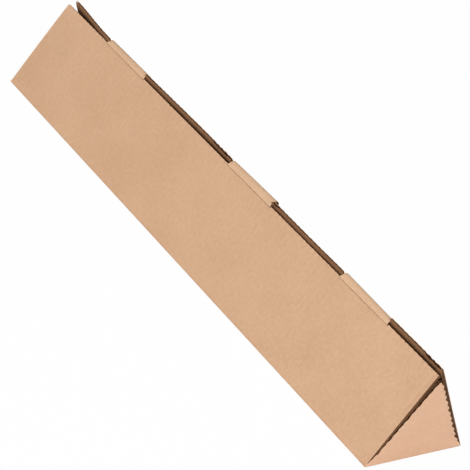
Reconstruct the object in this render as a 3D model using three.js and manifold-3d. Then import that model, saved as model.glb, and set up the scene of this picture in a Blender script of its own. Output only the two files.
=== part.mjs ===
// Triangular mailing tube folded from one sheet of single wall corrugated board.
// It lies on its base panel, with its length along Y and its ridge up. Millimetres.

import * as THREE from 'three';
import { mergeVertices } from 'three/addons/utils/BufferGeometryUtils.js';
import Module from 'manifold-3d';

const wasm = await Module();
wasm.setup();

// Driving dimensions of the tube
const side = 102;
const panelLength = 610;
const board = 3;
const foldRadius = 2;
const gap = 0.3;

// Ridge: how far the cover panel's top edge stays short of the ridge corner
const coverSetback = 6;
const tabRelief = 1;

// Tuck tabs, counted from the near end at -Y
const tabWidth = 71;
const tabTaper = 27;
const tabReach = 24;
const tabTipTaper = 22;
const tabTipRadius = 5;
const tabLean = 12;
const kneeRadius = 5;
const kneeLap = 0.05;
const recessDepth = 7.6;
const nearEdgeToTab = 70;
const firstSpacing = 106;
const secondSpacing = 147;
const recessClearance = 1;

// End flaps: they stand in the tube's mouth and lean out of it by a few degrees
const flapInset = 3.9;
const mouthInset = 3.1;
const flapTipWidth = 4.5;
const flapLean = 2;

// Section of the equilateral tube, in X and Z
const rise = Math.PI / 3;
const up = new THREE.Vector2(Math.cos(rise), Math.sin(rise));
const down = new THREE.Vector2(Math.cos(rise), -Math.sin(rise));
const backOut = new THREE.Vector2(Math.sin(rise), Math.cos(rise));
const coverOut = new THREE.Vector2(-Math.sin(rise), Math.cos(rise));
const apex = new THREE.Vector2(0, side * Math.sin(rise));
const nearEnd = -panelLength / 2;
const farEnd = panelLength / 2;
const radians = THREE.MathUtils.degToRad;

// Point of the section at a distance along a direction
function step(from, direction, distance) {
  return from.clone().addScaledVector(direction, distance);
}

// Where two lines of the section cross
function cross(a, directionA, b, directionB) {
  const turn = directionA.x * directionB.y - directionA.y * directionB.x;
  const apart = b.clone().sub(a);
  const along = (apart.x * directionB.y - apart.y * directionB.x) / turn;
  return step(a, directionA, along);
}

// Solid and mesh conversions
function toSolid(geometry) {
  const bare = new THREE.BufferGeometry();
  bare.setAttribute('position', geometry.getAttribute('position').clone());
  if (geometry.index) bare.setIndex(geometry.index.clone());
  const merged = mergeVertices(bare, 1e-4);
  return new wasm.Manifold(new wasm.Mesh({
    numProp: 3,
    vertProperties: new Float32Array(merged.getAttribute('position').array),
    triVerts: new Uint32Array(merged.index.array),
  }));
}

function toGeometry(solid) {
  const mesh = solid.getMesh();
  const geometry = new THREE.BufferGeometry();
  geometry.setAttribute('position', new THREE.BufferAttribute(new Float32Array(mesh.vertProperties), 3));
  geometry.setIndex(new THREE.BufferAttribute(new Uint32Array(mesh.triVerts), 1));
  const flat = geometry.toNonIndexed();
  flat.computeVertexNormals();
  return flat;
}

// Closed outline with each corner rounded by its own radius
function roundedShape(corners) {
  const shape = new THREE.Shape();
  corners.forEach(({ at, radius }, i) => {
    const before = corners[(i + corners.length - 1) % corners.length].at;
    const after = corners[(i + 1) % corners.length].at;
    const start = at.clone().lerp(before, radius / at.distanceTo(before));
    const end = at.clone().lerp(after, radius / at.distanceTo(after));
    if (i === 0) shape.moveTo(start.x, start.y);
    else shape.lineTo(start.x, start.y);
    if (radius > 0) shape.quadraticCurveTo(at.x, at.y, end.x, end.y);
  });
  shape.closePath();
  return shape;
}

// Section drawn in X and Z, made into a bar between two places along Y
function barAlongY(shape, from, to) {
  const geometry = new THREE.ExtrudeGeometry(shape, { depth: to - from, bevelEnabled: false, curveSegments: 6 });
  geometry.rotateX(Math.PI / 2);
  geometry.translate(0, to, 0);
  return toSolid(geometry);
}

// Profile drawn in Y and Z, made into a bar across the whole width
function barAlongX(shape) {
  const geometry = new THREE.ExtrudeGeometry(shape, { depth: 2 * side, bevelEnabled: false });
  const place = new THREE.Matrix4().makeBasis(
    new THREE.Vector3(0, 1, 0),
    new THREE.Vector3(0, 0, 1),
    new THREE.Vector3(1, 0, 0),
  );
  place.setPosition(-side, 0, 0);
  geometry.applyMatrix4(place);
  return toSolid(geometry);
}

// Board plate drawn in Y and in the distance from its start, laid along a line of the section
function boardPlate(outline, start, direction, outward) {
  const geometry = new THREE.ExtrudeGeometry(outline, { depth: board, bevelEnabled: false, curveSegments: 6 });
  const place = new THREE.Matrix4().makeBasis(
    new THREE.Vector3(0, -1, 0),
    new THREE.Vector3(direction.x, 0, direction.y),
    new THREE.Vector3(outward.x, 0, outward.y),
  );
  place.setPosition(start.x, 0, start.y);
  geometry.applyMatrix4(place);
  return toSolid(geometry);
}

function corner(x, y, radius = 0) {
  return { at: new THREE.Vector2(x, y), radius };
}

// Everything on the side of a line of the section that its normal points to
function halfSpace(at, normal) {
  const reach = 4 * side;
  const along = new THREE.Vector2(normal.y, -normal.x);
  const shape = new THREE.Shape([
    step(at, along, -reach),
    step(at, along, reach),
    step(step(at, along, reach), normal, reach),
    step(step(at, along, -reach), normal, reach),
  ]);
  return barAlongY(shape, nearEnd - side, farEnd + side);
}

// Folded sheet: cover panel, base panel and back panel
function panelSection() {
  const wall = board / Math.sin(rise);
  const coverTop = step(apex, up, -coverSetback);
  const backTop = apex.clone();
  const baseLeft = new THREE.Vector2(-side / 2, 0);
  const baseRight = new THREE.Vector2(side / 2, 0);
  const innerRun = board / Math.tan(rise / 2);
  return roundedShape([
    { at: coverTop, radius: 0 },
    { at: baseLeft, radius: foldRadius },
    { at: baseRight, radius: foldRadius },
    { at: backTop, radius: 0 },
    { at: step(backTop, backOut, -board), radius: 0 },
    { at: new THREE.Vector2(side / 2 - innerRun, board), radius: wall / 4 },
    { at: new THREE.Vector2(innerRun - side / 2, board), radius: wall / 4 },
    { at: step(coverTop, coverOut, -board), radius: 0 },
  ]);
}

// Geometry of one tab in the section: crease on the cover panel, spine, knee over the ridge and tongue
const crease = step(apex, up, -(coverSetback + tabRelief));
const spineTilt = rise - radians(tabLean);
const spineAlong = new THREE.Vector2(Math.cos(spineTilt), Math.sin(spineTilt));
const spineOut = new THREE.Vector2(-Math.sin(spineTilt), Math.cos(spineTilt));
const kneeTurn = spineTilt + rise;
const sharpKnee = cross(crease, spineAlong, step(apex, backOut, gap + board), down);
const spineLength = crease.distanceTo(sharpKnee) - kneeRadius * Math.tan(kneeTurn / 2);
const kneeCentre = step(step(crease, spineAlong, spineLength), spineOut, -kneeRadius);
const mitreAlong = spineAlong.clone().sub(up).normalize();
const mitreNormal = new THREE.Vector2(-mitreAlong.y, mitreAlong.x);
const kneeWidth = tabWidth - 2 * spineLength * Math.tan(radians(tabTaper));
const tipWidth = kneeWidth - 2 * tabReach * Math.tan(radians(tabTipTaper));
const recessWidth = kneeWidth + 2 * recessClearance;

// Tab middles along Y
const firstTab = nearEnd + nearEdgeToTab + tabWidth / 2;
const secondTab = firstTab + tabWidth + firstSpacing;
const thirdTab = secondTab + tabWidth + secondSpacing;

// Cylinder of the knee's width along its centre
function kneeRound(radius) {
  const geometry = new THREE.CylinderGeometry(radius, radius, kneeWidth, 48);
  geometry.translate(kneeCentre.x, 0, kneeCentre.y);
  return toSolid(geometry);
}

// One tab: spine from the crease, rounded knee over the ridge, tongue down the back panel
function tuckTab(middle) {
  const root = board;
  const spine = boardPlate(roundedShape([
    corner(-tabWidth / 2, -root),
    corner(tabWidth / 2, -root),
    corner(tabWidth / 2, 0),
    corner(kneeWidth / 2, spineLength),
    corner(-kneeWidth / 2, spineLength),
    corner(-tabWidth / 2, 0),
  ]), step(crease, spineOut, -board), spineAlong, spineOut);
  const tongue = boardPlate(roundedShape([
    corner(-kneeWidth / 2, 0),
    corner(kneeWidth / 2, 0),
    corner(tipWidth / 2, tabReach, tabTipRadius),
    corner(-tipWidth / 2, tabReach, tabTipRadius),
  ]), step(kneeCentre, backOut, kneeRadius - board), down, backOut);
  const outside = kneeRound(kneeRadius);
  const inside = kneeRound(kneeRadius - board);
  const bend = outside.subtract(inside)
    .intersect(halfSpace(step(kneeCentre, spineAlong, -kneeLap), spineAlong))
    .intersect(halfSpace(step(kneeCentre, down, kneeLap), down.clone().negate()));
  const pastCrease = halfSpace(step(crease, mitreNormal, gap / 2), mitreNormal);
  const solid = spine.intersect(pastCrease).add(tongue).add(bend);
  return solid.translate([0, middle, 0]);
}

// Space that a tab needs in the top edge of the back panel
function tabRecess(middle) {
  const inside = step(apex, backOut, -board - gap);
  const outside = step(apex, backOut, gap);
  return barAlongY(new THREE.Shape([
    step(inside, down, -board),
    step(inside, down, recessDepth),
    step(outside, down, recessDepth),
    step(outside, down, -board),
  ]), middle - recessWidth / 2, middle + recessWidth / 2);
}

// Edge of the cover panel under a tab, cut back to the crease and mitred
function creaseCut(middle) {
  const half = tabWidth / 2 + gap;
  const reach = coverSetback + tabRelief;
  const low = step(crease, up, -board);
  const high = step(crease, up, reach);
  const box = barAlongY(new THREE.Shape([
    step(low, coverOut, board),
    step(low, coverOut, -board - gap),
    step(high, coverOut, -board - gap),
    step(high, coverOut, board),
  ]), middle - half, middle + half);
  return box.intersect(halfSpace(step(crease, mitreNormal, -gap / 2), mitreNormal));
}

// Geometry of the near end flap in Y and Z: its fold, the way it leans and the mitre below it
const fold = new THREE.Vector2(nearEnd - gap, 0);
const flapUp = new THREE.Vector2(-Math.sin(radians(flapLean)), Math.cos(radians(flapLean)));
const flapOut = new THREE.Vector2(-flapUp.y, flapUp.x);
const foldMitre = flapUp.clone().add(new THREE.Vector2(1, 0)).normalize();
const foldMitreNormal = new THREE.Vector2(-foldMitre.y, foldMitre.x);

// Everything above the flap's mitre, moved up or down by a distance
function aboveFold(distance) {
  const start = step(fold, foldMitreNormal, distance);
  return barAlongX(new THREE.Shape([
    step(start, foldMitre, -side),
    step(start, foldMitre, side),
    step(step(start, foldMitre, side), foldMitreNormal, side),
    step(step(start, foldMitre, -side), foldMitreNormal, side),
  ]));
}

// Half the width, at a height, of a triangle that lies inside the panels' outer faces
function halfWidth(height, inset) {
  return side / 2 - inset / Math.sin(rise) - height / Math.tan(rise);
}

// Lip of the base panel that carries the flap's fold at one end
function foldLip(nearSide) {
  const solid = barAlongY(roundedShape([
    corner(-side / 2, 0, foldRadius),
    corner(side / 2, 0, foldRadius),
    corner(halfWidth(board, 0), board),
    corner(-halfWidth(board, 0), board),
  ]), fold.x, nearEnd + board);
  return nearSide ? solid : solid.mirror([0, 1, 0]);
}

// Mitred cut in the base panel behind the fold, as wide as the tube's mouth
function foldCut(nearSide) {
  const top = board + gap;
  const solid = barAlongY(new THREE.Shape([
    new THREE.Vector2(-halfWidth(-gap, mouthInset), -gap),
    new THREE.Vector2(halfWidth(-gap, mouthInset), -gap),
    new THREE.Vector2(halfWidth(top, mouthInset), top),
    new THREE.Vector2(-halfWidth(top, mouthInset), top),
  ]), fold.x - board, nearEnd + 2 * board).intersect(aboveFold(-gap / 2));
  return nearSide ? solid : solid.mirror([0, 1, 0]);
}

// End flap, standing on its fold across one end of the tube
function endFlap(nearSide) {
  const tipHeight = (halfWidth(0, flapInset) - flapTipWidth / 2) * Math.tan(rise);
  const outline = roundedShape([
    corner(-halfWidth(0, flapInset), 0),
    corner(halfWidth(0, flapInset), 0),
    corner(flapTipWidth / 2, tipHeight, 1),
    corner(-flapTipWidth / 2, tipHeight, 1),
  ]);
  const geometry = new THREE.ExtrudeGeometry(outline, { depth: board, bevelEnabled: false, curveSegments: 6 });
  const place = new THREE.Matrix4().makeBasis(
    new THREE.Vector3(1, 0, 0),
    new THREE.Vector3(0, flapUp.x, flapUp.y),
    new THREE.Vector3(0, flapOut.x, flapOut.y),
  );
  const inner = step(fold, flapOut, -board);
  place.setPosition(0, inner.x, inner.y);
  geometry.applyMatrix4(place);
  const solid = toSolid(geometry).intersect(aboveFold(gap / 2));
  return nearSide ? solid : solid.mirror([0, 1, 0]);
}

// Kraft board as the photo shows it
function kraft(color) {
  return new THREE.MeshStandardMaterial({ color, roughness: 0.9, metalness: 0, flatShading: true });
}

function named(name, solid, material) {
  const mesh = new THREE.Mesh(toGeometry(solid), material);
  mesh.name = name;
  return mesh;
}

const tabMiddles = { near: firstTab, middle: secondTab, far: thirdTab };

function foldedPanels() {
  let solid = barAlongY(panelSection(), nearEnd, farEnd);
  solid = solid.add(foldLip(true)).add(foldLip(false)).subtract(foldCut(true)).subtract(foldCut(false));
  for (const middle of Object.values(tabMiddles)) {
    solid = solid.subtract(tabRecess(middle)).subtract(creaseCut(middle));
  }
  return solid;
}

const tube = new THREE.Group();
tube.add(named('folded_panels', foldedPanels(), kraft(0xd8b08c)));

for (const [place, middle] of Object.entries(tabMiddles)) {
  tube.add(named(`tuck_tab_${place}`, tuckTab(middle), kraft(0xdcb894)));
}

tube.add(named('end_flap_near', endFlap(true), kraft(0xe2ba9b)));
tube.add(named('end_flap_far', endFlap(false), kraft(0xe2ba9b)));

export default tube;
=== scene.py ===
import math
import random

import bpy
from mathutils import Matrix, Vector


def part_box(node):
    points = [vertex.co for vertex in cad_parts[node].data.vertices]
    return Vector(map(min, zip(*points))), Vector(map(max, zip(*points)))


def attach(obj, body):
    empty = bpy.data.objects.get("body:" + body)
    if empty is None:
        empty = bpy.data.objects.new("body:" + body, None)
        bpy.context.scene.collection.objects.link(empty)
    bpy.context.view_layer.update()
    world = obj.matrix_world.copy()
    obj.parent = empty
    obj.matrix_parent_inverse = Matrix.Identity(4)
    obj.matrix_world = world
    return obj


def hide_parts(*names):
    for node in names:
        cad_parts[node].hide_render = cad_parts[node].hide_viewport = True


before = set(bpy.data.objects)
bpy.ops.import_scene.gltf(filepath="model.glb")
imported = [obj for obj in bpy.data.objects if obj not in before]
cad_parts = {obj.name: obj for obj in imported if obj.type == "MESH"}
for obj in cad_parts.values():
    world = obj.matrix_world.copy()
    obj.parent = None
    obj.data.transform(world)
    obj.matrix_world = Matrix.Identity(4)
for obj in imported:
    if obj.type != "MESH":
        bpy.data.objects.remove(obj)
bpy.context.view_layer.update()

tube = {
    "side": 0.102,
    "board": 0.003,
    "foldTangent": 0.002,     # how far from a corner the outer face starts to turn
    "creaseGap": 0.0003,
    "coverSetback": 0.006,    # how far the cover's top edge stops short of the ridge
    "tabRelief": 0.001,       # how far the tabs' creases lie below that edge
    "linerThickness": 0.00028,
    "mediumThickness": 0.0002,
    "flutePitch": 0.0063,
    "stepsPerFlute": 8,
    "crush": (0.0002, 0.0005, 0.0016),    # of a cut edge's liners: least, by chance, fades over
    "waver": (0.0001, 0.0003, 0.001),     # of a cut edge: least, by chance, fades over
    "smoothAngle": math.radians(40),
    "seed": 7,
}
board = tube["board"]
side = tube["side"]
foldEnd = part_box("folded_panels")[1].y
halfLength = foldEnd - tube["creaseGap"]
pitch = tube["flutePitch"]
hair = 1e-6    # places nearer than this are the same
chance = random.Random(tube["seed"])
fluteChance = [chance.random() for _ in range(400)]

# Directions and corners of the section, in X and Z
rise = math.radians(60)
slope = math.tan(rise)
up = Vector((math.cos(rise), 0, math.sin(rise)))
down = Vector((math.cos(rise), 0, -math.sin(rise)))
backOut = Vector((math.sin(rise), 0, math.cos(rise)))
coverOut = Vector((-math.sin(rise), 0, math.cos(rise)))
apex = Vector((0, 0, side * math.sin(rise)))
along = Vector((0, 1, 0))
innerRun = board / math.tan(rise / 2)     # inner face's corner, measured back from the outer corner


def mix(a, b, share):
    return a + (b - a) * share


def ease(value):
    value = min(1, max(0, value))
    return value * value * (3 - 2 * value)


def stations(start, end, spacing, extra=()):
    # evenly spaced places from start to end that also pass through the extra ones
    fixed = sorted({start, end, *[e for e in extra if start < e < end]})
    places = [fixed[0]]
    for a, b in zip(fixed, fixed[1:]):
        count = max(1, round((b - a) / spacing))
        places += [mix(a, b, i / count) for i in range(1, count + 1)]
    return places


# Modelling helpers


def deselectAll():
    bpy.ops.object.select_all(action="DESELECT")


def newSheet(name, columns, rows):
    # flat grid with its columns and rows at these places, in X and Y
    deselectAll()
    acrossCount, alongCount = len(columns) - 1, len(rows) - 1
    bpy.ops.mesh.primitive_grid_add(x_subdivisions=acrossCount, y_subdivisions=alongCount, size=2)
    sheet = bpy.context.object
    sheet.name = name
    sheet.data.name = name
    for vertex in sheet.data.vertices:
        column = columns[round((vertex.co.x + 1) / 2 * acrossCount)]
        row = rows[round((vertex.co.y + 1) / 2 * alongCount)]
        vertex.co = (column, row, 0)
    return sheet


def cutAway(sheet, isWaste):
    # removes the faces whose middle is waste
    bpy.ops.object.mode_set(mode="EDIT")
    bpy.ops.mesh.select_mode(type="FACE")
    bpy.ops.mesh.select_all(action="DESELECT")
    bpy.ops.object.mode_set(mode="OBJECT")
    for face in sheet.data.polygons:
        face.select = isWaste(face.center.x, face.center.y)
    bpy.ops.object.mode_set(mode="EDIT")
    bpy.ops.mesh.delete(type="FACE")
    bpy.ops.object.mode_set(mode="OBJECT")


def layOut(sheet, place):
    for vertex in sheet.data.vertices:
        vertex.co = place(vertex.co.x, vertex.co.y)
    sheet.data.update()


def thicken(sheet, thickness):
    paper = sheet.modifiers.new("paper", "SOLIDIFY")
    paper.thickness = thickness
    paper.offset = 0
    bpy.ops.object.modifier_apply(modifier="paper")
    bpy.ops.object.shade_smooth_by_angle(angle=tube["smoothAngle"])


# Shape of the board, by the place across its flutes


def fluteWave(place):
    # 1 where the medium touches the inner paper, 0 where it touches the outer one
    return (1 + math.cos(2 * math.pi * place / pitch)) / 2


def fluteLuck(place):
    return fluteChance[math.floor(place / pitch) % len(fluteChance)]


def fluteDepth(place, layer):
    # depth of a layer's middle below the outer face
    thin = tube["linerThickness"]
    if layer == "outer":
        return thin / 2
    if layer == "inner":
        return board - thin / 2
    swing = (board - 2 * thin - tube["mediumThickness"]) / 2
    return board / 2 + swing * math.cos(2 * math.pi * place / pitch)


def edgeCrush(place, layer, inset):
    # how far a cut edge's liner is pressed towards the hollow of each flute
    least, most, fade = tube["crush"]
    depth = (least + most * fluteLuck(place)) * math.exp(-inset / fade)
    hollow = {"outer": fluteWave(place), "medium": 0, "inner": fluteWave(place) - 1}
    return depth * hollow[layer]


def edgeWaver(place, inset):
    # the cut edge runs in and out with the flutes
    least, most, fade = tube["waver"]
    return (least + most * fluteLuck(place)) * fluteWave(place) * math.exp(-inset / fade)


# Materials

pulpPattern = {    # noise: scale, detail, roughness, stretch; then its range and what that becomes
    "clouds": ((22, 3, 0.5, None), (0.35, 0.65, -0.3, 0.3)),
    "blotches": ((330, 5, 0.62, None), (0.3, 0.7, -0.55, 0.55)),
    "fibresAlong": ((1, 3, 0.55, (1500, 170, 1500)), (0.52, 0.72, 0, 0.55)),
    "fibresAcross": ((1, 3, 0.55, (190, 1500, 190)), (0.52, 0.72, 0, 0.55)),
    "specks": ((620, 2, 0.5, None), (0.71, 0.78, 0, 0.9)),
}
kraftSurface = {
    "specular": 0.25,
    "smoothest": 0.78,
    "roughest": 0.92,
    "speckShare": 0.7,
    "blotchRelief": 0.6,
    "reliefDepth": 0.00012,
    "ribRelief": -0.35,
}
papers = {    # material, pulp, dark pulp, mottle, bump, axis across the flutes
    "panelFace": ("kraftPanelFace", (0.695, 0.44, 0.275), (0.565, 0.34, 0.2), 0.4, 0.5, "Y"),
    # the inner paper is the same kraft as the face, painted much darker: painted shade of the tube's dim
    # inside
    "panelInsidePaintedShade": ("kraftPanelInsidePaintedShade", (0.33, 0.165, 0.08), (0.24, 0.115, 0.05), 0.5, 0.6, "Y"),
    # the tabs are the same kraft as the cover, painted lighter: painted light on faces turned up to the
    # lamps
    "tabFacePaintedLight": ("kraftTabFacePaintedLight", (0.74, 0.49, 0.31), (0.61, 0.385, 0.235), 0.4, 0.5, "Y"),
    # the end flaps are the same kraft as the cover, painted brighter: painted light on faces turned to the
    # key lamp
    "flapFacePaintedLight": ("kraftFlapFacePaintedLight", (0.76, 0.485, 0.325), (0.65, 0.395, 0.255), 0.4, 0.5, "Z"),
    # the flutes are near black: painted shade of the hollows between the papers, not the medium's own kraft
    # colour
    "flutingPaintedShade": ("kraftFlutingPaintedShade", (0.15, 0.065, 0.025), (0.09, 0.036, 0.013), 0.6, 0.7, None),
}


def socket(group, name, kind, inOut, value=None):
    made = group.interface.new_socket(name=name, in_out=inOut, socket_type=kind)
    if value is not None:
        made.default_value = value


def kraftFibres():
    # mottled pulp, fibres both ways and a few bark specks
    group = bpy.data.node_groups.new("kraftFibres", "ShaderNodeTree")
    socket(group, "Vector", "NodeSocketVector", "INPUT")
    socket(group, "Pulp", "NodeSocketColor", "INPUT", (0.6, 0.4, 0.25, 1))
    socket(group, "Dark Pulp", "NodeSocketColor", "INPUT", (0.5, 0.3, 0.18, 1))
    socket(group, "Mottle", "NodeSocketFloat", "INPUT", 0.5)
    socket(group, "Color", "NodeSocketColor", "OUTPUT")
    socket(group, "Roughness", "NodeSocketFloat", "OUTPUT")
    socket(group, "Height", "NodeSocketFloat", "OUTPUT")
    nodes, links = group.nodes, group.links
    given = nodes.new("NodeGroupInput")
    out = nodes.new("NodeGroupOutput")

    def noise(scale, detail, roughness, stretch):
        texture = nodes.new("ShaderNodeTexNoise")
        texture.inputs["Scale"].default_value = scale
        texture.inputs["Detail"].default_value = detail
        texture.inputs["Roughness"].default_value = roughness
        if stretch:
            mapping = nodes.new("ShaderNodeMapping")
            mapping.inputs["Scale"].default_value = stretch
            links.new(given.outputs["Vector"], mapping.inputs["Vector"])
            links.new(mapping.outputs["Vector"], texture.inputs["Vector"])
        else:
            links.new(given.outputs["Vector"], texture.inputs["Vector"])
        return texture.outputs["Fac"]

    def span(value, low, high, toLow, toHigh):
        ranged = nodes.new("ShaderNodeMapRange")
        links.new(value, ranged.inputs["Value"])
        for name, number in zip(("From Min", "From Max", "To Min", "To Max"), (low, high, toLow, toHigh)):
            ranged.inputs[name].default_value = number
        return ranged.outputs["Result"]

    def maths(kind, a, b):
        node = nodes.new("ShaderNodeMath")
        node.operation = kind
        for i, part in enumerate((a, b)):
            if isinstance(part, (int, float)):
                node.inputs[i].default_value = part
            else:
                links.new(part, node.inputs[i])
        return node.outputs[0]

    part = {name: span(noise(*texture), *limits) for name, (texture, limits) in pulpPattern.items()}
    fibreContrast = maths("SUBTRACT", part["fibresAlong"], part["fibresAcross"])
    pulp = maths("ADD", maths("ADD", part["clouds"], part["blotches"]), fibreContrast)
    share = maths("ADD", maths("MULTIPLY", pulp, given.outputs["Mottle"]), 0.5)
    share = maths("ADD", share, maths("MULTIPLY", part["specks"], kraftSurface["speckShare"]))
    clamped = nodes.new("ShaderNodeClamp")
    links.new(share, clamped.inputs["Value"])
    colour = nodes.new("ShaderNodeMix")
    colour.data_type = "RGBA"
    links.new(clamped.outputs["Result"], colour.inputs[0])
    links.new(given.outputs["Pulp"], colour.inputs[6])
    links.new(given.outputs["Dark Pulp"], colour.inputs[7])
    links.new(colour.outputs[2], out.inputs["Color"])
    roughness = span(share, 0, 1, kraftSurface["smoothest"], kraftSurface["roughest"])
    links.new(roughness, out.inputs["Roughness"])
    fibreHeight = maths("ADD", part["fibresAlong"], part["fibresAcross"])
    blotchHeight = maths("MULTIPLY", part["blotches"], kraftSurface["blotchRelief"])
    links.new(maths("ADD", fibreHeight, blotchHeight), out.inputs["Height"])
    return group


def kraftMaterial(name, pulp, darkPulp, mottle, bump, ribAxis):
    # ribAxis is the axis across the flutes, whose ribs show faintly through the liner
    material = bpy.data.materials.new(name)
    material.use_nodes = True
    nodes, links = material.node_tree.nodes, material.node_tree.links
    shader = nodes["Principled BSDF"]
    shader.inputs["Specular IOR Level"].default_value = kraftSurface["specular"]
    where = nodes.new("ShaderNodeTexCoord")
    grain = nodes.new("ShaderNodeGroup")
    grain.node_tree = fibres
    grain.inputs["Pulp"].default_value = (*pulp, 1)
    grain.inputs["Dark Pulp"].default_value = (*darkPulp, 1)
    grain.inputs["Mottle"].default_value = mottle
    links.new(where.outputs["Object"], grain.inputs["Vector"])
    links.new(grain.outputs["Color"], shader.inputs["Base Color"])
    links.new(grain.outputs["Roughness"], shader.inputs["Roughness"])
    relief = nodes.new("ShaderNodeBump")
    relief.inputs["Strength"].default_value = bump
    relief.inputs["Distance"].default_value = kraftSurface["reliefDepth"]
    height = grain.outputs["Height"]
    if ribAxis:
        parts = nodes.new("ShaderNodeSeparateXYZ")
        turns = nodes.new("ShaderNodeMath")
        ribs = nodes.new("ShaderNodeMath")
        ribbed = nodes.new("ShaderNodeMath")
        turns.operation = "MULTIPLY"
        turns.inputs[1].default_value = 2 * math.pi / pitch
        ribs.operation = "COSINE"
        ribbed.operation = "MULTIPLY_ADD"
        ribbed.inputs[1].default_value = kraftSurface["ribRelief"]
        links.new(where.outputs["Object"], parts.inputs["Vector"])
        links.new(parts.outputs[ribAxis], turns.inputs[0])
        links.new(turns.outputs[0], ribs.inputs[0])
        links.new(ribs.outputs[0], ribbed.inputs[0])
        links.new(height, ribbed.inputs[2])
        height = ribbed.outputs[0]
    links.new(height, relief.inputs["Height"])
    links.new(relief.outputs["Normal"], shader.inputs["Normal"])
    return material


fibres = kraftFibres()
finishes = {name: kraftMaterial(*values) for name, values in papers.items()}
print("materials ready")


def finishPiece(sheet, node, material):
    sheet.data.materials.clear()
    sheet.data.materials.append(material)
    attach(sheet, node)
    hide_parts(node)


def makeBoard(piece, node, face, columnsOf, rows, pointOf, wasteOf=None):
    # one paper for each layer: cut while flat, laid in its place and given its thickness
    layers = {
        "outer": (tube["linerThickness"], finishes[face]),
        # the flutes carry painted shade of the hollows at the cut edges
        "medium": (tube["mediumThickness"], finishes["flutingPaintedShade"]),
        # the inner paper carries painted shade, darker than its own kraft
        "inner": (tube["linerThickness"], finishes["panelInsidePaintedShade"]),
    }
    for layer, (thickness, material) in layers.items():
        sheet = newSheet(f"{piece}_{layer}_paper", columnsOf(layer), rows)
        if wasteOf:
            cutAway(sheet, lambda x, y: wasteOf(x, y, layer))
        layOut(sheet, lambda x, y: pointOf(x, y, layer))
        thicken(sheet, thickness)
        finishPiece(sheet, node, material)


# Folded panels: cover, base and back in one sheet, measured across from the cover's top edge

panels = {
    "coverWidth": side - tube["coverSetback"],
    "recessDepth": 0.0076,
    "recessClearance": 0.0003,
    "mediumShortfall": 0.0045,    # how far back the flutes stop from the panels' ends
    "columnSpacing": 0.022,
    "edgeSteps": (0, 0.0004, 0.001, 0.0018, 0.003, 0.006),    # columns beside the cut edges
    "recessStep": 0.001,
    "foldSteps": (0, 0.0006, 0.0013, 0.002, 0.003),           # columns beside the folds
    "endSteps": (0.0001, 0.0006, 0.0012, 0.0018, 0.0025),     # rows beside the end folds
    "pressedTop": 0.75,           # how flat the back panel's top edge is pressed
    "pressedReach": 0.0026,
    "pressedDepth": {"outer": 0.00014, "medium": 0.0006, "inner": 0.00105},
    "openSpots": ((0.027, 0.013), (-0.062, 0.005), (-0.293, 0.009)),    # middle and half length
    "openShare": 0.6,             # share of an open spot that isn't pressed at all
    "sprungFrom": 0.45,           # share of its height above which the back panel springs out
    "topWave": (0.0005, 19, 0.6),         # swing, turn for each metre, start
    "farSpread": (0.0026, 0.225, 0.08),   # how far the far top stands out, from where, over what
    "lowSpot": (0.0006, 0.25, 0.06),      # depth, middle, half length
    "farSetback": (0.0058, 0.2, 0.105),   # how far the far top corner is drawn in, from where, over what
    "setbackHeight": (0.5, 0.35),         # shares of the height: from where, over what
    "coverBow": (0.0005, 1.2),            # depth, half waves along each half of the tube
    "endDent": (0.0045, 0.0014, 0.0004),  # along the cover's near end: inset, half width, depth
    "dentFade": (1.3, 1.6),               # strength at the top, loss over the cover's width
    "dentSteps": (-2, -1.5, -1, -0.5, 0, 0.5, 1, 1.5, 2),
}
tabs = {
    "width": 0.071,
    "taper": math.radians(27),
    "tipTaper": math.radians(22),
    "reach": 0.024,
    "tipRadius": 0.005,
    "lean": math.radians(12),
    "kneeRadius": 0.005,
    "fromNearEdge": 0.070,
    "firstSpacing": 0.106,
    "secondSpacing": 0.147,
    "sinks": ((0.0004, 0.0014), (0.0006, -0.0006), (0.0012, 0.0010)),    # far and near end of each knee
    "sinkWay": Vector((-0.35, 0, -0.94)),
    "rowSpacing": 0.003,
    "creaseSteps": (0.0006, 0.0012, 0.002),
    "kneeSteps": 12,
    "tipSteps": (1, 0.75, 0.5, 0.3, 0.15, 0.05, 0.01),    # shares of the tip's radius
}
baseStart = panels["coverWidth"]
backStart = baseStart + side
sheetEnd = backStart + side
coverTop = apex - up * tube["coverSetback"]
baseLeft = Vector((-side / 2, 0, 0))
baseRight = Vector((side / 2, 0, 0))
panelStretches = [    # where it starts, its first corner, its direction, its way out
    (0, coverTop, -up, coverOut),
    (baseStart, baseLeft, Vector((1, 0, 0)), Vector((0, 0, -1))),
    (backStart, baseRight, -down, backOut),
]
foldCorners = [    # where it is, its corner, the ways before and after it, its inner corner
    (baseStart, baseLeft, -up, Vector((1, 0, 0)), Vector((innerRun - side / 2, 0, board))),
    (backStart, baseRight, Vector((1, 0, 0)), -down, Vector((side / 2 - innerRun, 0, board))),
]

# Tabs' own section: crease, spine, knee and tongue
crease = coverTop - up * tube["tabRelief"]
tilt = rise - tabs["lean"]
spineAlong = Vector((math.cos(tilt), 0, math.sin(tilt)))
spineOut = Vector((-math.sin(tilt), 0, math.cos(tilt)))
kneeTurn = tilt + rise
tongueStand = tube["creaseGap"] + board
sharpKneeReach = (tongueStand - (crease - apex).dot(backOut)) / spineAlong.dot(backOut)
spineLength = sharpKneeReach - tabs["kneeRadius"] * math.tan(kneeTurn / 2)
kneeCentre = crease + spineAlong * spineLength - spineOut * tabs["kneeRadius"]
kneeEnd = spineLength + tabs["kneeRadius"] * kneeTurn
tabEnd = kneeEnd + tabs["reach"]
kneeWidth = tabs["width"] - 2 * spineLength * math.tan(tabs["taper"])
firstTab = -halfLength + tabs["fromNearEdge"] + tabs["width"] / 2
secondTab = firstTab + tabs["width"] + tabs["firstSpacing"]
thirdTab = secondTab + tabs["width"] + tabs["secondSpacing"]
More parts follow.
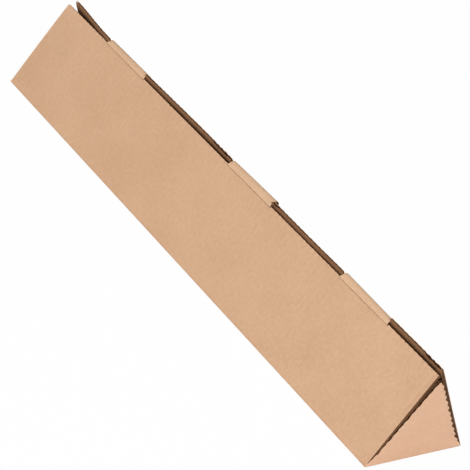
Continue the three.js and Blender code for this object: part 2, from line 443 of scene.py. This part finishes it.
tabMiddles = {"near": firstTab, "middle": secondTab, "far": thirdTab}
recessHalf = kneeWidth / 2 + panels["recessClearance"]
creaseHalf = tabs["width"] / 2 + tube["creaseGap"]


def outerPoint(across):
    for start, corner, into, away, _ in foldCorners:
        past = across - start
        reach = tube["foldTangent"]
        if abs(past) < reach:
            share = (past + reach) / (2 * reach)
            first = mix(corner - into * reach, corner, share)
            return mix(first, mix(corner, corner + away * reach, share), share)
    start, corner, direction, _ = [s for s in panelStretches if across >= s[0] - hair][-1]
    return corner + direction * (across - start)


def innerPoint(across):
    for start, _, _, _, innerCorner in foldCorners:
        if abs(across - start) < innerRun:
            return innerCorner
    start, corner, direction, out = [s for s in panelStretches if across >= s[0] - hair][-1]
    return corner + direction * (across - start) - out * board


def inNotch(y):
    return any(abs(y - middle) < creaseHalf - hair for middle in tabMiddles.values())


def inRecess(across, y):
    if across < tube["tabRelief"]:
        return inNotch(y)
    if across > sheetEnd - panels["recessDepth"]:
        return any(abs(y - middle) < recessHalf for middle in tabMiddles.values())
    return False


def ridgeWander(y):
    # small wander of the back panel's top along the tube, outwards
    swing, turn, shift = panels["topWave"]
    spread, spreadStart, spreadRun = panels["farSpread"]
    low, lowMiddle, lowHalf = panels["lowSpot"]
    wander = spread * ease((y - spreadStart) / spreadRun) + swing * math.sin(turn * y + shift)
    return wander - low * ease(1 - abs(y - lowMiddle) / lowHalf)


def backWander(y, height):
    # the back panel's top springs out, and its far corner is drawn in
    sprung = panels["sprungFrom"]
    setback, start, run = panels["farSetback"]
    low, rising = panels["setbackHeight"]
    out = backOut * ridgeWander(y) * ease((height - sprung) / (1 - sprung))
    return out - along * setback * ease((height - low) / rising) * ease((y - start) / run)


def coverSag(y, share):
    # the cover's slow bow, and the dent along its near end
    depth, waves = panels["coverBow"]
    bow = math.sin(math.pi * share) * math.cos(waves * math.pi * y / halfLength)
    inset, half, dentDepth = panels["endDent"]
    strength, loss = panels["dentFade"]
    dent = dentDepth * math.exp(-((y + halfLength - inset) / half) ** 2) * ease(strength - loss * share)
    return depth * (1 + bow) + dent


def settle(point, across):
    if across > backStart:
        return point + backWander(point.y, (across - backStart) / side)
    if across < baseStart:
        return point - coverOut * coverSag(point.y, across / baseStart)
    return point


def pressTop(depth, y, layer, inset):
    # the back panel's top edge is pressed flat by the cutting die, but for a few open spots
    squeeze = panels["pressedTop"]
    for middle, half in panels["openSpots"]:
        squeeze *= ease(abs(y - middle) / half - panels["openShare"])
    share = squeeze * math.exp(-(inset / panels["pressedReach"]) ** 2)
    return mix(depth, panels["pressedDepth"][layer], share)


def panelPoint(across, y, layer):
    inset = min(across, sheetEnd - across)
    depth = fluteDepth(y, layer) + edgeCrush(y, layer, inset)
    if across > backStart + side / 2:
        depth = pressTop(depth, y, layer, inset)
    if baseStart <= across <= backStart:
        # past the panels' ends the base runs on to its fold, pressed thin along the mitre
        room = foldEnd - abs(y)
        depth = min(depth, max(tube["linerThickness"] / 2, room - tube["linerThickness"] / 2))
    if across < side / 2:
        if abs(across - tube["tabRelief"]) < hair and inNotch(y):
            across += tube["creaseGap"] / 2 + depth * math.tan(tabs["lean"] / 2)
        across += edgeWaver(y, inset)
    elif across > backStart + side / 2:
        across -= edgeWaver(y, inset)
    point = mix(outerPoint(across), innerPoint(across), depth / board) + along * y
    return settle(point, across)


def panelWaste(across, y, layer):
    overBase = baseStart < across < backStart
    shortfall = panels["mediumShortfall"] if layer == "medium" else 0
    pastEnd = abs(y) > halfLength - shortfall
    return inRecess(across, y) or (pastEnd and not overBase)


def panelColumns(layer):
    recess = sheetEnd - panels["recessDepth"]
    fixed = [*panels["edgeSteps"], recess, recess - panels["recessStep"]]
    fixed += [sheetEnd - step for step in panels["edgeSteps"]]
    for start, *_ in foldCorners:
        if layer == "inner":
            near = (innerRun, innerRun + tube["foldTangent"])
        else:
            near = (*panels["foldSteps"], innerRun)
        fixed += [start + step for step in near] + [start - step for step in near]
    columns = stations(0, sheetEnd, panels["columnSpacing"], fixed)
    if layer == "inner":
        columns = [c for c in columns if all(abs(c - start) > innerRun - hair for start, *_ in foldCorners)]
    return columns


def panelRows():
    shortfall = panels["mediumShortfall"]
    rows = [halfLength, -halfLength, halfLength - shortfall, shortfall - halfLength]
    for middle in tabMiddles.values():
        rows += [middle - recessHalf, middle + recessHalf, middle - creaseHalf, middle + creaseHalf]
    for step in panels["endSteps"]:
        rows += [foldEnd - step, step - foldEnd]
    inset, half, _ = panels["endDent"]
    rows += [inset - halfLength + half * step for step in panels["dentSteps"]]
    return stations(-foldEnd, foldEnd, pitch / tube["stepsPerFlute"], rows)


makeBoard(
    "panels", "folded_panels", "panelFace",
    panelColumns, panelRows(), panelPoint, panelWaste,
)
print("panels done")


# Tuck tabs, measured from the crease along the outer face: spine, knee and tongue


def tabHalfWidth(reach):
    if reach < spineLength:
        return tabs["width"] / 2 - reach * math.tan(tabs["taper"])
    if reach < kneeEnd:
        return kneeWidth / 2
    width = kneeWidth / 2 - (reach - kneeEnd) * math.tan(tabs["tipTaper"])
    left = tabEnd - reach
    radius = tabs["tipRadius"]
    if left < radius:
        width -= radius - math.sqrt(max(0, radius ** 2 - (radius - left) ** 2))
    return width


def tabSection(reach, depth):
    if reach <= spineLength:
        return crease + spineAlong * reach - spineOut * depth
    if reach < kneeEnd:
        turn = (reach - spineLength) / tabs["kneeRadius"]
        out = Matrix.Rotation(turn, 3, "Y") @ spineOut
        return kneeCentre + out * (tabs["kneeRadius"] - depth)
    return kneeCentre + down * (reach - kneeEnd) + backOut * (tabs["kneeRadius"] - depth)


def tabSink(y, reach):
    # how far each tab's knee is pressed down, more at one end than at the other
    sink = 0.0
    for middle, (farSink, nearSink) in zip(tabMiddles.values(), tabs["sinks"]):
        if abs(y - middle) < tabs["width"]:
            sink = mix(nearSink, farSink, (y - middle) / tabs["width"] + 0.5)
    return tabs["sinkWay"] * sink * ease(reach / spineLength)


def tabPoint(reach, share, middle, layer):
    y = middle + share * tabHalfWidth(reach)
    depth = fluteDepth(y, layer) + edgeCrush(y, layer, tabEnd - reach)
    start = tube["creaseGap"] / 2 + depth * math.tan(tabs["lean"] / 2)
    point = tabSection(max(reach, start), depth) + tabSink(y, reach)
    point.y = y
    return point


def makeTab(place, middle):
    steps = tabs["kneeSteps"]
    knee = [mix(spineLength, kneeEnd, i / steps) for i in range(steps + 1)]
    tip = [tabEnd - tabs["tipRadius"] * share for share in tabs["tipSteps"]]
    reaches = stations(0, tabEnd, tabs["rowSpacing"], [*tabs["creaseSteps"], *knee, *tip])
    shares = stations(-1, 1, 2 / (tabs["width"] / pitch * tube["stepsPerFlute"]))
    makeBoard(
        # the tabs' outer paper is a lighter copy of the cover's kraft, painted light
        f"tab_{place}", f"tuck_tab_{place}", "tabFacePaintedLight",
        lambda layer: reaches, shares, lambda x, y, layer: tabPoint(x, y, middle, layer),
    )


for place, middle in tabMiddles.items():
    makeTab(place, middle)
print("tabs done")


# End flaps, measured up from the fold

flaps = {
    "inset": 0.0039,
    "tipWidth": 0.0045,
    "lean": math.radians(2),
    "shoulderInset": 0.0026,
    "shoulderHeight": 0.012,
    "hollow": 0.0004,     # how much narrower its flutes and inner paper are on each side
    "scallop": 0.0026,    # how far its slanted edges are bitten at each flute
    "scallopLeast": 0.35,
    "scallopStart": 0.008,
    "scallopFade": 0.0012,
    "innerScallop": 0.3,  # share of the bites in its flutes and inner paper
    "shares": (0.25, 0.5, 0.75, 0.9, 0.95, 0.975, 0.99, 1),
    "foldSteps": (0.0003, 0.0007, 0.0012, 0.0018, 0.003, 0.0033),
}
flapTip = (side / 2 - flaps["inset"] / math.sin(rise) - flaps["tipWidth"] / 2) * slope
flapUp = Vector((0, math.sin(flaps["lean"]), math.cos(flaps["lean"])))
flapOut = Vector((0, math.cos(flaps["lean"]), -math.sin(flaps["lean"])))


def flapHalfWidth(height, layer):
    # the outer paper spreads to the tube's full width at the fold, the rest stands in the mouth
    start = tube["foldTangent"]
    roundHeight = start * math.sin(rise)
    if layer == "outer" and height < roundHeight:
        share = math.sqrt(max(0, height) / roundHeight)
        low = side / 2 - start
        high = side / 2 - start * math.cos(rise)
        return mix(mix(low, side / 2, share), mix(side / 2, high, share), share)
    shoulder = flaps["shoulderHeight"]
    if layer != "outer":
        inset = flaps["inset"] + flaps["hollow"]
    elif height < shoulder:
        inset = flaps["shoulderInset"] * height / shoulder
    else:
        inset = mix(flaps["shoulderInset"], flaps["inset"], (height - shoulder) / (flapTip - shoulder))
    return max(flaps["tipWidth"] / 2, side / 2 - inset / math.sin(rise) - height / slope)


def flapScallop(height, inset, layer):
    # the slanted edges are bitten between the flutes, each bite by its own chance
    least = flaps["scallopLeast"]
    depth = flaps["scallop"] * mix(least, 1, fluteLuck(height + pitch / 2)) * fluteWave(height)
    depth *= ease(height / flaps["scallopStart"]) * math.exp(-inset / flaps["scallopFade"])
    return depth * (1 if layer == "outer" else flaps["innerScallop"])


def flapPoint(share, height, sign, layer):
    thin = tube["linerThickness"] / 2
    width = flapHalfWidth(height, layer)
    edgeInset = width * (1 - abs(share))
    depth = fluteDepth(height, layer) + edgeCrush(height, layer, min(edgeInset, flapTip - height))
    depth = min(depth, max(thin, height - tube["creaseGap"] - thin))
    reach = width * share - math.copysign(flapScallop(height, edgeInset, layer), share)
    point = Vector((reach, foldEnd, 0)) + flapUp * height - flapOut * depth
    point.y *= sign
    return point


def makeFlap(place, sign):
    shares = [-share for share in reversed(flaps["shares"])] + [0, *flaps["shares"]]
    heights = stations(0, flapTip, pitch / tube["stepsPerFlute"], flaps["foldSteps"])
    makeBoard(
        # the flaps' outer paper is a brighter copy of the cover's kraft, painted light
        f"flap_{place}", f"end_flap_{place}", "flapFacePaintedLight",
        lambda layer: shares, heights, lambda x, y, layer: flapPoint(x, y, sign, layer),
    )


makeFlap("near", -1)
makeFlap("far", 1)
print("flaps done")


# Floor, light and camera

studio = {
    "floorSize": 8,
    "floorDrop": 0.0003,
    "floorColour": (0.85, 0.85, 0.85, 1),
    "floorRoughness": 0.9,
    "floorGlow": 0.97,    # share of plain white that the camera sees in it
    "world": 0.3,
    "lamps": {    # place, size, watts
        "key": ((-0.9, -2.6, 1.5), 1.5, 55),
        "top": ((-0.6, 0.1, 2.4), 1.2, 20),
        "left": ((-3.0, 1.9, 1.1), 0.6, 24),
    },
}
view = {
    "place": (-1.1216, -1.3136, 1.0460),
    "right": (0.81783, -0.52703, 0.23106),
    "up": (0.11933, 0.54812, 0.82784),
    "lens": 172.25,
    "sensor": 36,
    "farthest": 50,
}


def makeFloor():
    deselectAll()
    bpy.ops.mesh.primitive_plane_add(size=studio["floorSize"], location=(0, 0, -studio["floorDrop"]))
    floor = bpy.context.object
    floor.name = "floor"
    bpy.ops.object.transform_apply(location=True)
    paper = bpy.data.materials.new("whiteSweep")
    paper.use_nodes = True
    nodes, links = paper.node_tree.nodes, paper.node_tree.links
    shader = nodes["Principled BSDF"]
    shader.inputs["Base Color"].default_value = studio["floorColour"]
    shader.inputs["Roughness"].default_value = studio["floorRoughness"]
    glow = nodes.new("ShaderNodeEmission")
    glow.inputs["Strength"].default_value = 1
    seen = nodes.new("ShaderNodeLightPath")
    share = nodes.new("ShaderNodeMath")
    share.operation = "MULTIPLY"
    share.inputs[1].default_value = studio["floorGlow"]
    blend = nodes.new("ShaderNodeMixShader")
    links.new(seen.outputs["Is Camera Ray"], share.inputs[0])
    links.new(share.outputs[0], blend.inputs["Fac"])
    links.new(shader.outputs["BSDF"], blend.inputs[1])
    links.new(glow.outputs["Emission"], blend.inputs[2])
    links.new(blend.outputs["Shader"], nodes["Material Output"].inputs["Surface"])
    floor.data.materials.append(paper)


def makeWorld():
    # soft light on the object, plain white to the camera
    world = bpy.data.worlds.new("studio")
    bpy.context.scene.world = world
    world.use_nodes = True
    nodes, links = world.node_tree.nodes, world.node_tree.links
    soft = nodes["Background"]
    white = nodes.new("ShaderNodeBackground")
    for background, strength in ((soft, studio["world"]), (white, 1)):
        background.inputs["Color"].default_value = (1, 1, 1, 1)
        background.inputs["Strength"].default_value = strength
    seen = nodes.new("ShaderNodeLightPath")
    blend = nodes.new("ShaderNodeMixShader")
    links.new(seen.outputs["Is Camera Ray"], blend.inputs["Fac"])
    links.new(soft.outputs["Background"], blend.inputs[1])
    links.new(white.outputs["Background"], blend.inputs[2])
    links.new(blend.outputs["Shader"], nodes["World Output"].inputs["Surface"])


def makeLamps():
    for name, (spot, size, watts) in studio["lamps"].items():
        lamp = bpy.data.lights.new(name, "AREA")
        lamp.size = size
        lamp.energy = watts
        holder = bpy.data.objects.new(name, lamp)
        bpy.context.scene.collection.objects.link(holder)
        holder.location = spot
        holder.rotation_euler = (-Vector(spot)).to_track_quat("-Z", "Y").to_euler()


def makeCamera():
    camera = bpy.data.cameras.new("camera")
    camera.lens = view["lens"]
    camera.sensor_width = view["sensor"]
    camera.clip_end = view["farthest"]
    holder = bpy.data.objects.new("camera", camera)
    bpy.context.scene.collection.objects.link(holder)
    right, upward = Vector(view["right"]), Vector(view["up"])
    turn = Matrix((right, upward, right.cross(upward))).transposed().to_4x4()
    holder.matrix_world = Matrix.Translation(view["place"]) @ turn
    bpy.context.scene.camera = holder


makeFloor()
makeWorld()
makeLamps()
makeCamera()
bpy.context.scene.view_settings.view_transform = "Standard"
print("studio done")
